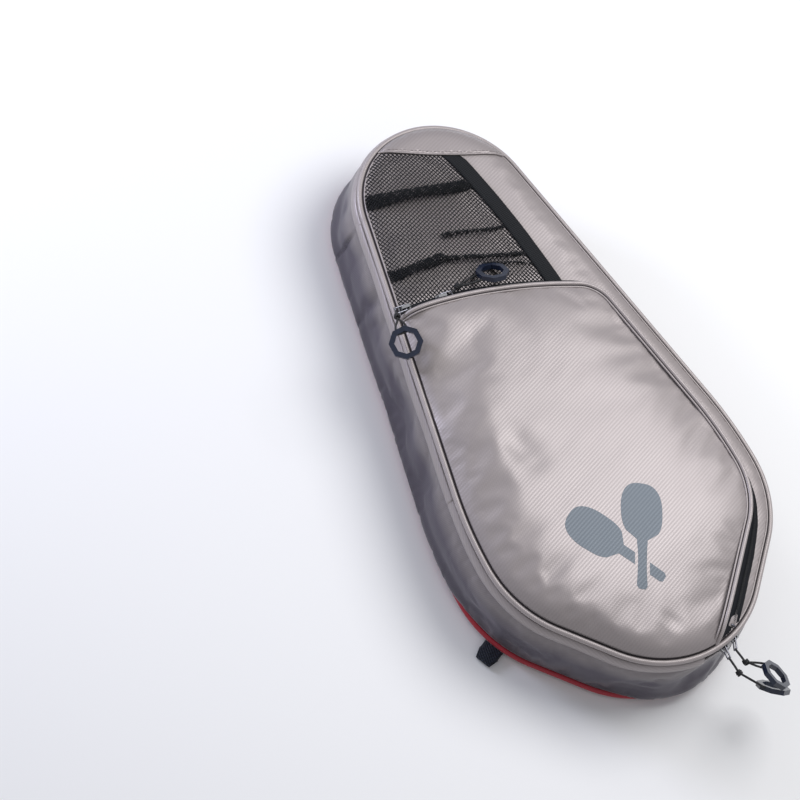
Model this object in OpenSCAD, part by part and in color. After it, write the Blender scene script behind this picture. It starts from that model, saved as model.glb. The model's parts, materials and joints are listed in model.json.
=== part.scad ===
// Teardrop paddle case: a padded shell with a zipped lid.
// It lies on its back: +Z is the front face's side, +Y the narrow end, +X the zip side.

/* [Case] */
// Length of the case from the narrow end to the wide end
case_length = 490; // [470:1:510]
// Largest width of the case
case_width = 254; // [246:1:262]
// Height of the front edge's piping above the back face
edge_height = 70; // [60:1:90]
// Radius of the narrow end
narrow_radius = 74; // [70:1:78]
// Lean of each straight flank from the long axis, in degrees
flank_angle = 11.4; // [10.8:0.1:12]
// Distance of the widest place below the middle of the length
widest_drop = 117; // [112:1:122]
// Radius of each shoulder of the wide end
shoulder_radius = 94; // [88:1:98]
// Radius of the tip of the wide end
tip_radius = 94; // [90:1:98]

/* [Walls] */
// Thickness of the outer fabric on the back
back_thickness = 2.4; // [2:0.1:2.6]
// Thickness of the padding in the back
back_foam_thickness = 5.8; // [4:0.1:6]
// Thickness of the padding in the lid
front_foam_thickness = 4.5; // [3:0.1:4.6]
// Thickness of the side wall's fabric
gusset_thickness = 1.6; // [1:0.1:1.8]
// Thickness of each lining
lining_thickness = 0.9; // [0.6:0.1:1]
// Radius of the back edge's piping
back_piping_radius = 2.2; // [1.8:0.1:2.3]
// Radius of the front edge's piping
front_piping_radius = 2.4; // [2:0.1:2.5]

/* [Pocket] */
// Radius of the pocket's long top edge
pocket_top_radius = 420; // [410:1:430]
// Radius of the pocket's upper right corner
pocket_corner_radius = 30; // [24:1:36]
// Distance of the pocket's right edge inside the case's edge
pocket_inset = 22; // [20:1:26]
// Inner depth of the pocket
pocket_depth = 8; // [7:0.5:10]
// Radius of the pocket's piping
pocket_piping_radius = 1.6; // [1.2:0.1:1.7]

/* [Mesh] */
// Thickness of the mesh
mesh_thickness = 0.8; // [0.6:0.1:1]
// Width of the binding on the mesh's free edge
binding_width = 13; // [10:1:15]

/* [Zips] */
// Height of each main zip tape
main_tape_height = 3.2; // [3:0.1:3.4]
// Thickness of a zip tape
tape_thickness = 0.9; // [0.7:0.1:1]
// Thickness of each half of a zip's coil
coil_height = 0.9; // [0.7:0.1:1]
// Width of the pocket zip's tape outside its coil
pocket_tape_width = 4.9; // [4:0.1:5.5]
// Length of a slider
slider_length = 10; // [9:0.5:10]
// Width of a main zip slider
slider_width = 7.4; // [7:0.1:7.6]

/* [Pullers] */
// Distance across the flats of a grip
grip_size = 25; // [23:0.5:26]
// Thickness of a grip's tube
grip_stroke = 4; // [3.4:0.1:4.2]
// Radius of the puller cord
cord_radius = 0.9; // [0.7:0.1:1]
// Radius of the cord's knot
knot_radius = 2.6; // [2.2:0.1:2.8]

/* [Tab] */
// Width of the webbing tab
tab_width = 26; // [20:1:30]
// Length of the webbing tab beyond the back edge
tab_length = 20; // [14:1:24]

/* [Hidden] */
$fn = 32;
gap = 0.3;
end_y = case_length / 2;
half_width = case_width / 2;

// Outline centres, worked out so that every arc is tangent to the next
flank_normal = [cos(flank_angle), sin(flank_angle)];
flank_along = [-sin(flank_angle), cos(flank_angle)];
narrow_centre = [0, end_y - narrow_radius];
belly_radius = ((narrow_centre.y + widest_drop) * flank_normal.y + narrow_radius
    - half_width * flank_normal.x) / (1 - flank_normal.x);
belly_centre = [half_width - belly_radius, -widest_drop];
shoulder_centre = [half_width - shoulder_radius, -widest_drop];
tip_centre = [0, tip_radius - end_y];
tip_offset = shoulder_centre - tip_centre;
tip_turn = acos((tip_radius - shoulder_radius) / norm(tip_offset)) + atan2(-tip_offset.y, tip_offset.x);
tip_normal = [cos(tip_turn), -sin(tip_turn)];

// Heights of the layers above the back face
back_foam_z = back_thickness + gap;
back_lining_z = back_foam_z + back_foam_thickness + gap;
back_piping_z = back_thickness + gap + back_piping_radius;
gusset_z = back_piping_z + back_piping_radius + 0.2;
compartment_z = back_lining_z + lining_thickness;
front_piping_z = edge_height;
upper_tape_z = front_piping_z - front_piping_radius - gap - main_tape_height;
upper_coil_z = upper_tape_z - 0.1 - coil_height;
lower_coil_z = upper_coil_z - 0.2 - coil_height;
lower_tape_z = lower_coil_z - 0.1 - main_tape_height;
gusset_top = lower_tape_z - gap;
hinge_strip_top = upper_tape_z + main_tape_height - 0.5;
front_lining_z = front_piping_z - 3.4;
front_foam_z = front_lining_z + lining_thickness + gap;
front_panel_z = front_foam_z + front_foam_thickness + gap;
front_panel_thickness = 1.4;
deck_z = front_panel_z + front_panel_thickness + gap;
pocket_plate_z = deck_z + pocket_depth;
pocket_plate_thickness = 1.2;
pocket_ledge_z = deck_z + pocket_depth / 3;
pocket_side_step = 7;
pocket_piping_z = pocket_plate_z + pocket_plate_thickness + 0.1 + pocket_piping_radius;
flap_axis_z = pocket_piping_z + pocket_piping_radius;

// Pocket's centres and ends
pocket_top_centre = [-91, -325.6];
corner_line = flank_normal * narrow_centre + narrow_radius - pocket_inset - pocket_corner_radius;
corner_reach = pocket_top_radius - pocket_corner_radius;
corner_side = corner_line - flank_normal * pocket_top_centre;
corner_centre = corner_line * flank_normal
    + (flank_along * pocket_top_centre + sqrt(pow(corner_reach, 2) - pow(corner_side, 2))) * flank_along;
corner_start = atan2(corner_centre.y - pocket_top_centre.y, corner_centre.x - pocket_top_centre.x);
pocket_sew_inset = 3;
pocket_left_end = meet_left_flank(pocket_top_centre, pocket_top_radius, pocket_sew_inset);
pocket_start = atan2(pocket_left_end.y - pocket_top_centre.y, pocket_left_end.x - pocket_top_centre.x);
pocket_low_end = pocket_path_end(0);
fold_along = (pocket_low_end - pocket_left_end) / norm(pocket_low_end - pocket_left_end);
fold_normal = [-fold_along.y, fold_along.x];
flap_wall_start = 20;
flap_piping_start = 6;

// Seams of the upper front
cap_seam_left = [-36, 235];
cap_seam_right = [69, 196];
cap_along = (cap_seam_right - cap_seam_left) / norm(cap_seam_right - cap_seam_left);
cap_up = [-cap_along.y, cap_along.x];
binding_centre = [-594.5, 34.6];
binding_radius = 642;
binding_reach = [17, 2];
pocket_zip_edge = pocket_tape_width + 3.6;

// Places of the sliders: angles round the tip, and round the pocket's top edge
main_slider_angles = [-77.2, -69.9];
main_slider_out = 0.5;
pivot_out = 3.2;
pocket_slider_angles = [89.1, 84.6];
pocket_slider_inset = -(2.6 + 6 / 2);
pocket_slider_z = deck_z + tape_thickness + coil_height + 1;

// A length beyond every edge of the case
big = 600;

// ---- outlines ----

// Points of an arc, from one angle to another
function arc_points(centre, radius, from, to, steps) =
    [for (i = [0 : steps]) let (a = from + (to - from) * i / steps) centre + radius * [cos(a), sin(a)]];

function flip_x(p) = [-p.x, p.y];

// Mirror image of a run of points, in the opposite order
function mirrored(points) = [for (i = [len(points) - 1 : -1 : 0]) flip_x(points[i])];

// The right side below the narrow end, from the flank to the middle of the tip
function right_side(inset) = concat(
    arc_points(belly_centre, belly_radius - inset, flank_angle, 0, 4),
    [for (i = [1 : 8]) shoulder_centre + (shoulder_radius - inset) * [cos(tip_turn * i / 8), -sin(tip_turn * i / 8)]],
    arc_points(tip_centre, tip_radius - inset, -tip_turn, -90, 9)
);

// The outline moved inwards by inset: it starts at the top of the straight left flank, runs
// over the narrow end, down the right side and round the tip, and ends at the flank's foot
function outline(inset) = let (side = right_side(inset), left = mirrored(side)) concat(
    arc_points(narrow_centre, narrow_radius - inset, 180 - flank_angle, flank_angle, 26),
    side,
    [for (i = [1 : len(left) - 1]) left[i]]
);

// Where a circle meets the left flank moved inwards by inset, on its upper side
function meet_left_flank(centre, radius, inset) = let (
    n = flip_x(flank_normal),
    d = n * narrow_centre + narrow_radius - inset - n * centre
) centre + d * n + sqrt(pow(radius, 2) - pow(d, 2)) * [flank_normal.y, flank_normal.x];

// Where the pocket's straight lower edge meets the tip's sewing line
function pocket_path_end(inset) = let (
    d = tip_normal * (shoulder_centre - tip_centre) + shoulder_radius - pocket_inset - inset
) tip_centre + d * tip_normal
    + sqrt(pow(tip_radius - pocket_sew_inset, 2) - pow(d, 2)) * [tip_normal.y, -tip_normal.x];

// The pocket's zipped edge moved inwards by inset, from its left end to its foot
function pocket_path(inset) = let (e = pocket_inset + inset) concat(
    arc_points(pocket_top_centre, pocket_top_radius - inset, pocket_start, corner_start, 10),
    arc_points(corner_centre, pocket_corner_radius - inset, corner_start, flank_angle, 8),
    arc_points(belly_centre, belly_radius - e, flank_angle, 0, 4),
    arc_points(shoulder_centre, shoulder_radius - e, 0, -tip_turn, 8),
    [pocket_path_end(inset)]
);

function reversed(points) = [for (i = [len(points) - 1 : -1 : 0]) points[i]];

// A strip between two insets of the case's outline, open along the straight left flank
module zip_strip(outer, inner) {
    polygon(concat(outline(outer), reversed(outline(inner))));
}

// A closed ring between two insets of the case's outline
module ring(outer, inner) {
    difference() {
        polygon(outline(outer));
        polygon(outline(inner));
    }
}

// A strip between two insets of the pocket's zipped edge
module pocket_strip(outer, inner) {
    polygon(concat(pocket_path(outer), reversed(pocket_path(inner))));
}

// The pocket's whole area, with its sewn side moved in by a further step
module pocket_area(inset, step = 0) {
    foot = pocket_path_end(inset);
    intersection() {
        polygon(outline(pocket_sew_inset + inset + step));
        polygon(concat(pocket_path(inset), [[foot.x, -big], [-big, -big], [-big, pocket_left_end.y - inset]]));
    }
}

// The half plane to the right of the pocket's fold, moved right by shift
module right_of_fold(shift) {
    base = pocket_left_end + shift * fold_normal;
    polygon([base - big * fold_along, base + 2 * big * fold_along,
        base + 2 * big * fold_along + big * fold_normal, base - big * fold_along + big * fold_normal]);
}

// The half plane above the cap's seam, moved up by shift
module above_cap_seam(shift) {
    base = cap_seam_left + shift * cap_up;
    polygon([base - big * cap_along, base + big * cap_along,
        base + big * cap_along + big * cap_up, base - big * cap_along + big * cap_up]);
}

module layer(z, thickness) {
    translate([0, 0, z]) linear_extrude(thickness) children();
}

// Piping along the case's edge: a stepped round section, widest at its middle
module piping(z, tube) {
    shoulder = 0.75 * tube;
    layer(z - tube, tube / 2 + 0.01) ring(-shoulder, shoulder);
    layer(z - tube / 2, tube) ring(-tube, tube);
    layer(z + tube / 2 - 0.01, tube / 2 + 0.01) ring(-shoulder, shoulder);
}

// ---- shell ----

module back_panel() {
    color("dimgray") layer(0, back_thickness) polygon(outline(0));
}

module back_foam() {
    color("lightgray") layer(back_foam_z, back_foam_thickness) polygon(outline(2.8));
}

module back_lining() {
    color("gray") layer(back_lining_z, lining_thickness) polygon(outline(3.6));
}

module back_piping() {
    color("firebrick") piping(back_piping_z, back_piping_radius);
}

module gusset_wall() {
    color("slategray") layer(gusset_z, gusset_top - gusset_z) ring(0.2, 0.2 + gusset_thickness);
}

module gusset_lining() {
    inset = 0.2 + gusset_thickness + gap;
    color("gray") layer(compartment_z + gap, gusset_top - compartment_z - gap) ring(inset, inset + lining_thickness);
}

module gusset_hinge_strip() {
    color("slategray") layer(gusset_top + 0.1, hinge_strip_top - gusset_top - 0.1) difference() {
        ring(0.2, 0.2 + gusset_thickness);
        zip_strip(-1, 4);
    }
}

module webbing_tab() {
    reach = shoulder_radius + tab_length;
    corner = 5;
    color("black") translate(flip_x(shoulder_centre)) rotate([0, 0, 206]) layer(0, 2.5) union() {
        translate([shoulder_radius + 1, -tab_width / 2]) square([tab_length - 1 - corner, tab_width]);
        translate([reach - corner - 0.1, corner - tab_width / 2]) square([corner + 0.1, tab_width - 2 * corner]);
        for (side = [-1, 1]) translate([reach - corner, side * (tab_width / 2 - corner)]) circle(corner);
    }
}

module main_zip_lower_tape() {
    color("black") layer(lower_tape_z, main_tape_height) zip_strip(0.8, 0.8 + tape_thickness);
}

module main_zip_lower_coil() {
    color("black") layer(lower_coil_z, coil_height) zip_strip(0.4, 2.2);
}

// Crimped stops on the inner face of the lower tape, just inside both of its ends
module main_zip_stops() {
    row = outline(0.8 + tape_thickness);
    color("silver") for (i = [0, 1]) let (p = row[i * (len(row) - 1)])
        translate([p.x, p.y, lower_coil_z - 1.8]) rotate([0, 0, 90 - flank_angle])
            translate([i == 0 ? 0.8 : -3.6, -1.8, 0]) cube([2.8, 1.6, 1.7]);
}

// ---- lid ----

module main_zip_upper_tape() {
    color("black") layer(upper_tape_z, main_tape_height) zip_strip(0.8, 0.8 + tape_thickness);
}

module main_zip_upper_coil() {
    color("black") layer(upper_coil_z, coil_height) zip_strip(0.4, 2.2);
}

module front_lining() {
    color("gray") layer(front_lining_z, lining_thickness) polygon(outline(2.6));
}

module front_foam() {
    color("lightgray") layer(front_foam_z, front_foam_thickness) polygon(outline(2.8));
}

module front_panel() {
    color("silver") layer(front_panel_z, front_panel_thickness) polygon(outline(0.4));
}

module front_piping() {
    color("gainsboro") piping(front_piping_z, front_piping_radius);
}

module top_cap() {
    color("silver") layer(deck_z, 1.1) intersection() {
        polygon(outline(1.2));
        above_cap_seam(0.2);
    }
}

module mesh_panel() {
    color("darkslategray") layer(deck_z + gap, mesh_thickness) difference() {
        intersection() {
            polygon(outline(2.4));
            polygon(concat(arc_points(binding_centre, binding_radius - binding_width / 2 - 0.2,
                binding_reach[1] - 1, binding_reach[0] + 3, 14), [[-big, big], [-big, 0]]));
        }
        above_cap_seam(-0.2);
        polygon(concat(arc_points(pocket_top_centre, pocket_top_radius + pocket_zip_edge + 0.3, 96, 55, 16),
            [[big, -big], [-big, -big]]));
    }
}

module mesh_binding() {
    color("black") layer(deck_z + 0.1, 1.8) difference() {
        polygon(concat(
            arc_points(binding_centre, binding_radius - binding_width / 2, binding_reach[1], binding_reach[0], 12),
            arc_points(binding_centre, binding_radius + binding_width / 2, binding_reach[0], binding_reach[1], 12)));
        above_cap_seam(-0.2);
        polygon(concat(arc_points(pocket_top_centre, pocket_top_radius + pocket_zip_edge + 0.3, 96, 55, 16),
            [[big, -big], [-big, -big]]));
    }
}

// The pocket's sewn side: a face, a side that rises from the case's edge in two steps, and the
// short stretches of zip wall next to the fold's ends
module pocket_panel() {
    wall = pocket_plate_thickness;
    color("silver") union() {
        layer(pocket_plate_z, wall) difference() {
            pocket_area(0, pocket_side_step);
            right_of_fold(-gap);
        }
        layer(pocket_ledge_z, pocket_plate_z - pocket_ledge_z + 0.2) difference() {
            pocket_area(0, pocket_side_step);
            pocket_area(wall, pocket_side_step);
            right_of_fold(-gap);
        }
        layer(pocket_ledge_z, wall) difference() {
            pocket_area(0);
            pocket_area(wall, pocket_side_step);
            right_of_fold(-gap);
        }
        layer(deck_z, pocket_ledge_z - deck_z + 0.2) difference() {
            pocket_area(0);
            pocket_area(wall);
            right_of_fold(-gap);
        }
    }
}

module pocket_zip_outer_tape() {
    color("black") layer(deck_z, tape_thickness) pocket_strip(-pocket_zip_edge, -2.4);
}

module pocket_zip_outer_coil() {
    color("black") layer(deck_z + tape_thickness + 0.1, coil_height) pocket_strip(-3.6, -2.4);
}

module pocket_zip_stops() {
    ends = [pocket_path(-3)[0], pocket_path(-3)[len(pocket_path(-3)) - 1]];
    turns = [pocket_start - 90, -90 - tip_turn];
    color("silver") for (i = [0, 1])
        translate([ends[i].x, ends[i].y, deck_z + tape_thickness + coil_height + 0.2])
            rotate([0, 0, turns[i]]) translate([i == 0 ? 0.4 : -1.6, -1.6, 0]) cube([2, 2, 0.8]);
}

// ---- pocket flap ----

module pocket_flap() {
    color("silver") layer(pocket_plate_z, pocket_plate_thickness) intersection() {
        pocket_area(0);
        right_of_fold(gap);
    }
}

module pocket_piping() {
    color("gainsboro") layer(pocket_plate_z + pocket_plate_thickness + 0.1, 2 * pocket_piping_radius) intersection() {
        pocket_strip(-pocket_piping_radius, pocket_piping_radius);
        right_of_fold(flap_piping_start);
    }
}

module pocket_zip_inner_tape() {
    color("black") layer(deck_z + tape_thickness + 0.1, pocket_plate_z - deck_z - tape_thickness - 0.2) intersection() {
        pocket_strip(0, tape_thickness);
        right_of_fold(flap_wall_start);
    }
}

module pocket_zip_inner_coil() {
    color("black") layer(deck_z + tape_thickness + 0.1, coil_height) intersection() {
        pocket_strip(-2, -0.1);
        right_of_fold(flap_wall_start);
    }
}

// ---- sliders ----

// A slider lying on its zip: X along the zip, Z away from the tape, base at Z = 0
module slider(width) {
    wing = slider_length / 2;
    color("dimgray") union() {
        linear_extrude(1.4) polygon([[-wing, -width * 0.3], [-wing * 0.2, -width / 2], [wing, -width / 2],
            [wing, width / 2], [-wing * 0.2, width / 2], [-wing, width * 0.3]]);
        for (x = [-3.7, 2.5]) translate([x, -1.1, 1.3]) cube([1.2, 2.2, 2.8]);
        translate([-3.7, -1.1, 3.9]) cube([7.4, 2.2, 1]);
    }
}

// The pull wire's loop through the slider's bridge, with its far bar at length
module pull_wire(length, half_span) {
    wire = 0.7;
    color("silver") union() {
        for (x = [0, length]) translate([x, -half_span, 0]) rotate([-90, 0, 0]) cylinder(2 * half_span, wire, wire, $fn = 16);
        for (y = [-half_span, half_span]) translate([0, y, 0]) rotate([0, 90, 0]) cylinder(length, wire, wire, $fn = 16);
        for (x = [0, length]) for (y = [-half_span, half_span]) translate([x, y, 0]) sphere(wire, $fn = 16);
    }
}

// A straight eight-sided rod from one point to another
module rod(from, to, radius) {
    run = to - from;
    translate(from) rotate([0, acos(run.z / norm(run)), atan2(run.y, run.x)]) cylinder(norm(run), radius, radius, $fn = 8);
}

// A moulded grip: an eight-sided loop of square tube, centred, lying flat
module grip() {
    across = 1 / cos(22.5);
    color("midnightblue") rotate([0, 0, 22.5]) difference() {
        translate([0, 0, -grip_stroke / 2]) cylinder(grip_stroke, grip_size / 2 * across, grip_size / 2 * across, $fn = 8);
        translate([0, 0, -grip_stroke]) cylinder(2 * grip_stroke, (grip_size / 2 - grip_stroke) * across,
            (grip_size / 2 - grip_stroke) * across, $fn = 8);
    }
}

// Places a slider on the main zip, facing outwards
module on_main_zip(i) {
    a = main_slider_angles[i];
    translate([tip_centre.x, tip_centre.y, lower_coil_z + coil_height + 0.1]) rotate([0, 0, a])
        translate([tip_radius + main_slider_out, 0, 0]) rotate([90, 0, 90]) children();
}

// Places a slider on the pocket zip, facing up
module on_pocket_zip(i) {
    a = pocket_slider_angles[i];
    translate([pocket_top_centre.x, pocket_top_centre.y, pocket_slider_z]) rotate([0, 0, a])
        translate([pocket_top_radius - pocket_slider_inset, 0, 0]) rotate([0, 0, -90]) children();
}

// Pullers: pivot, direction of the wire, knot, grip's centre and grip's turns
main_pivots = [for (a = main_slider_angles) concat(tip_centre + (tip_radius + pivot_out) * [cos(a), sin(a)],
    [lower_coil_z + coil_height + 0.1])];
pocket_pivots = [for (a = pocket_slider_angles) concat(
    pocket_top_centre + (pocket_top_radius - pocket_slider_inset) * [cos(a), sin(a)], [pocket_slider_z + 2.7])];
wire_length = 9;
main_wire_turns = [-94, -114];
pocket_wire_turns = [180, -2];
main_grip_centres = [[51, -287, 47], [45, -283, 70]];
main_grip_turns = [[0, 52, 57], [0, 36, 12]];
pocket_grip_centres = [[-102.3, 70, 86], [-4, 100.5, 86]];
pocket_grip_turns = [[6, -24, 0], [-35, 0, -6]];

function wire_end(pivot, turn) = pivot + wire_length * [cos(turn), sin(turn), 0];

module main_wire(i) {
    translate(main_pivots[i]) rotate([0, 0, main_wire_turns[i]]) rotate([90, 0, 0]) pull_wire(wire_length, 2.3);
}

module pocket_wire(i) {
    translate(pocket_pivots[i]) rotate([0, 0, pocket_wire_turns[i]]) pull_wire(wire_length, 2.3);
}

// The cord: from the wire, through the knot, to both sides of the grip
module pull_cord(start, knot, left, right) {
    along = (knot - start) / norm(knot - start);
    color("black") union() {
        rod(start, knot, cord_radius);
        rod(knot, left, cord_radius);
        rod(knot, right, cord_radius);
        rod(knot - knot_radius * along, knot + knot_radius * along, knot_radius);
    }
}

// ---- moving small parts, one module per piece ----

module main_slider_1() { on_main_zip(0) slider(slider_width); }
module main_slider_2() { on_main_zip(1) slider(slider_width); }
module pocket_slider_1() { on_pocket_zip(0) slider(6); }
module pocket_slider_2() { on_pocket_zip(1) slider(6); }
module main_pull_wire_1() { main_wire(0); }
module main_pull_wire_2() { main_wire(1); }
module pocket_pull_wire_1() { pocket_wire(0); }
module pocket_pull_wire_2() { pocket_wire(1); }
module main_pull_cord_1() {
    pull_cord(wire_end(main_pivots[0], -94), [23.5, -268, 60.5], [43, -280.4, 45.5], [42.2, -286.6, 52.7]);
}
module main_pull_cord_2() {
    pull_cord(wire_end(main_pivots[1], -114), [31.5, -263, 64], [45.4, -272.7, 68.1], [38.3, -275.8, 73.7]);
}
module pocket_pull_cord_1() {
    pull_cord(wire_end(pocket_pivots[0], 180), [-98.5, 92.5, 87.4], [-105.7, 79.9, 85.6], [-97.1, 78.5, 89.3]);
}
module pocket_pull_cord_2() {
    pull_cord(wire_end(pocket_pivots[1], -2), [-36, 100.5, 82.5], [-14, 104, 83.5], [-14, 97, 88]);
}
module main_grip_1() { translate(main_grip_centres[0]) rotate(main_grip_turns[0]) grip(); }
module main_grip_2() { translate(main_grip_centres[1]) rotate(main_grip_turns[1]) grip(); }
module pocket_grip_1() { translate(pocket_grip_centres[0]) rotate(pocket_grip_turns[0]) grip(); }
module pocket_grip_2() { translate(pocket_grip_centres[1]) rotate(pocket_grip_turns[1]) grip(); }

back_panel();
back_foam();
back_lining();
back_piping();
gusset_wall();
gusset_lining();
gusset_hinge_strip();
webbing_tab();
main_zip_lower_tape();
main_zip_lower_coil();
main_zip_stops();
main_zip_upper_tape();
main_zip_upper_coil();
front_lining();
front_foam();
front_panel();
front_piping();
top_cap();
mesh_panel();
mesh_binding();
pocket_panel();
pocket_zip_outer_tape();
pocket_zip_outer_coil();
pocket_zip_stops();
pocket_flap();
pocket_piping();
pocket_zip_inner_tape();
pocket_zip_inner_coil();
main_slider_1();
main_slider_2();
pocket_slider_1();
pocket_slider_2();
main_pull_wire_1();
main_pull_wire_2();
pocket_pull_wire_1();
pocket_pull_wire_2();
main_pull_cord_1();
main_pull_cord_2();
pocket_pull_cord_1();
pocket_pull_cord_2();
main_grip_1();
main_grip_2();
pocket_grip_1();
pocket_grip_2();
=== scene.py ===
import json
import math

import bmesh
import bpy
import numpy as np
from mathutils import Matrix, Vector, geometry
from mathutils.bvhtree import BVHTree

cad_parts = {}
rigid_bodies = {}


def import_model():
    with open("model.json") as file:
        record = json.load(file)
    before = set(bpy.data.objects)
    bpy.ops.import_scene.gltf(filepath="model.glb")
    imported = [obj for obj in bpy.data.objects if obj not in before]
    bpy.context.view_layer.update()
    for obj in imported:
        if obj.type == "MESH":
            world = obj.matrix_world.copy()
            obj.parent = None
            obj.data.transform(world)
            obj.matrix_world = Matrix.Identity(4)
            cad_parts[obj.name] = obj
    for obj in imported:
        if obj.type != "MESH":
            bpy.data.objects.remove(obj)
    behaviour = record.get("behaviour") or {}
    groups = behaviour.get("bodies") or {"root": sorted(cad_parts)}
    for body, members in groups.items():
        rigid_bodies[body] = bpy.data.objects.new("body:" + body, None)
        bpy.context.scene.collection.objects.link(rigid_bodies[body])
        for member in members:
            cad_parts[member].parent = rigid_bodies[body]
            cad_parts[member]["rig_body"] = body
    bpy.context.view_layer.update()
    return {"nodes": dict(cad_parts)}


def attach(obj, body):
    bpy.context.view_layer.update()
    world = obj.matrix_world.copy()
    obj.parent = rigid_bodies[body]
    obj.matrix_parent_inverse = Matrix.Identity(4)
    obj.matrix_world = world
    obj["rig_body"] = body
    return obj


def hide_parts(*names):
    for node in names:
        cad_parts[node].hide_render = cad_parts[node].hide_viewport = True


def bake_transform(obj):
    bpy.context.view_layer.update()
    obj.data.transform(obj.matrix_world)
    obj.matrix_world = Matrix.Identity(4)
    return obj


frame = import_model()
nodes = frame["nodes"]
MM = 0.001


# ---- plane shapes, in millimetres
def unit(degrees):
    a = np.radians(degrees)
    return np.stack((np.cos(a), np.sin(a)), -1)


def arc(centre, radius, start, stop, step=1.5):
    """Points and outward normals of an arc."""
    n = max(2, int(abs(math.radians(stop - start)) * radius / step))
    normals = unit(np.linspace(start, stop, n + 1))
    return np.array(centre) + radius * normals, normals


def lengths(line):
    """Distance along a line to each of its points."""
    return np.r_[0, np.cumsum(np.linalg.norm(np.diff(line, axis=0), axis=1))]


def sampled(at, along, line):
    """Where a line is at some distances along it."""
    return np.stack([np.interp(at, along, column) for column in line.T], -1)


def unit_rows(vectors):
    return vectors / np.linalg.norm(vectors, axis=1)[:, None]


def away(points, centre):
    return np.linalg.norm(points - np.asarray(centre), axis=1)


def smooth(x, low, high):
    """0 below low, 1 above high, and an even rise between."""
    t = np.clip((np.asarray(x, float) - low) / (high - low), 0, 1)
    return t * t * (3 - 2 * t)


class Path:
    """A run of points with normals, resampled to even steps."""

    def __init__(self, points, normals, step, closed=False):
        if closed:
            points, normals = np.vstack((points, points[:1])), np.vstack((normals, normals[:1]))
        keep = np.r_[True, np.linalg.norm(np.diff(points, axis=0), axis=1) > 1e-6]
        points, normals = points[keep], normals[keep]
        along = lengths(points)
        count = int(round(along[-1] / step))
        self.s = np.linspace(0, along[-1], count + (0 if closed else 1), endpoint=not closed)
        self.length, self.closed = along[-1], closed
        self.p = sampled(self.s, along, points)
        n = sampled(self.s, along, normals)
        self.n = unit_rows(n)

    def out(self, distance):
        """The points moved outwards by distance, one number or one for each point."""
        return self.p + np.asarray(distance, float).reshape(-1, 1) * self.n

    def part(self, mask):
        other = object.__new__(Path)
        other.p, other.n, other.s = self.p[mask], self.n[mask], self.s[mask]
        other.length, other.closed = self.length, False
        return other


LENGTH, WIDTH = 490, 254
FLANK = 11.4
NARROW_C, NARROW_R = np.array([0.0, 171.0]), 74.0
BELLY_Y = -117.0
flank_n = unit(FLANK)
flank_up = np.array([-flank_n[1], flank_n[0]])
BELLY_R = ((NARROW_C[1] - BELLY_Y) * flank_n[1] + NARROW_R - WIDTH / 2 * flank_n[0]) / (1 - flank_n[0])
BELLY_C = np.array([WIDTH / 2 - BELLY_R, BELLY_Y])
SHOULDER_R = TIP_R = 94.0
SHOULDER_C = np.array([WIDTH / 2 - SHOULDER_R, BELLY_Y])
TIP_C = np.array([0, TIP_R - LENGTH / 2])
_run = SHOULDER_C - TIP_C
TIP_TURN = 90 + math.degrees(math.atan2(-_run[1], _run[0]))


def build_outline(step):
    pieces = [arc(NARROW_C, NARROW_R, 180 - FLANK, FLANK),
              arc(BELLY_C, BELLY_R, FLANK, 0),
              arc(SHOULDER_C, SHOULDER_R, 0, -TIP_TURN),
              arc(TIP_C, TIP_R, -TIP_TURN, -90)]
    right_p = np.vstack([p for p, n in pieces[1:]])
    right_n = np.vstack([n for p, n in pieces[1:]])
    flip = np.array([-1, 1])
    points = np.vstack((pieces[0][0], right_p, right_p[::-1] * flip))
    normals = np.vstack((pieces[0][1], right_n, right_n[::-1] * flip))
    return Path(points, normals, step, closed=True)


EDGE = build_outline(2.0)
EDGE_TIP_ANGLE = np.degrees(np.arctan2(EDGE.p[:, 1] - TIP_C[1], EDGE.p[:, 0]))
left_n = flank_n * (-1, 1)
left_up = np.array([flank_n[1], flank_n[0]])
EDGE_ON_LEFT = (EDGE.p - NARROW_C) @ left_up

POCKET_C, POCKET_R, POCKET_INSET, CORNER_R = np.array([-91.0, -325.6]), 420.0, 22.0, 30.0


def build_pocket_edge(step):
    line = flank_n @ NARROW_C + NARROW_R - POCKET_INSET - CORNER_R
    side = line - flank_n @ POCKET_C
    corner = line * flank_n + (flank_up @ POCKET_C + math.sqrt((POCKET_R - CORNER_R) ** 2 - side ** 2)) * flank_up
    start_angle = math.degrees(math.atan2(*(corner - POCKET_C)[::-1]))
    d = left_n @ NARROW_C + NARROW_R - 3 - left_n @ POCKET_C
    left_end = POCKET_C + d * left_n + math.sqrt(POCKET_R ** 2 - d ** 2) * left_up
    left_angle = math.degrees(math.atan2(*(left_end - POCKET_C)[::-1]))
    tip_n = unit(-TIP_TURN)
    d = tip_n @ (SHOULDER_C - TIP_C) + SHOULDER_R - POCKET_INSET
    foot = TIP_C + d * tip_n + math.sqrt((TIP_R - 3) ** 2 - d ** 2) * np.array([tip_n[1], -tip_n[0]])
    parts = [arc(POCKET_C, POCKET_R, left_angle, start_angle), arc(corner, CORNER_R, start_angle, FLANK, 0.8),
             arc(BELLY_C, BELLY_R - POCKET_INSET, FLANK, 0), arc(SHOULDER_C, SHOULDER_R - POCKET_INSET, 0, -TIP_TURN)]
    points = np.vstack([p for p, n in parts] + [foot[None]])
    normals = np.vstack([n for p, n in parts] + [tip_n[None]])
    return Path(points, normals, step), left_end, foot


ZIP, ZIP_LEFT, ZIP_FOOT = build_pocket_edge(1.5)


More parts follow.
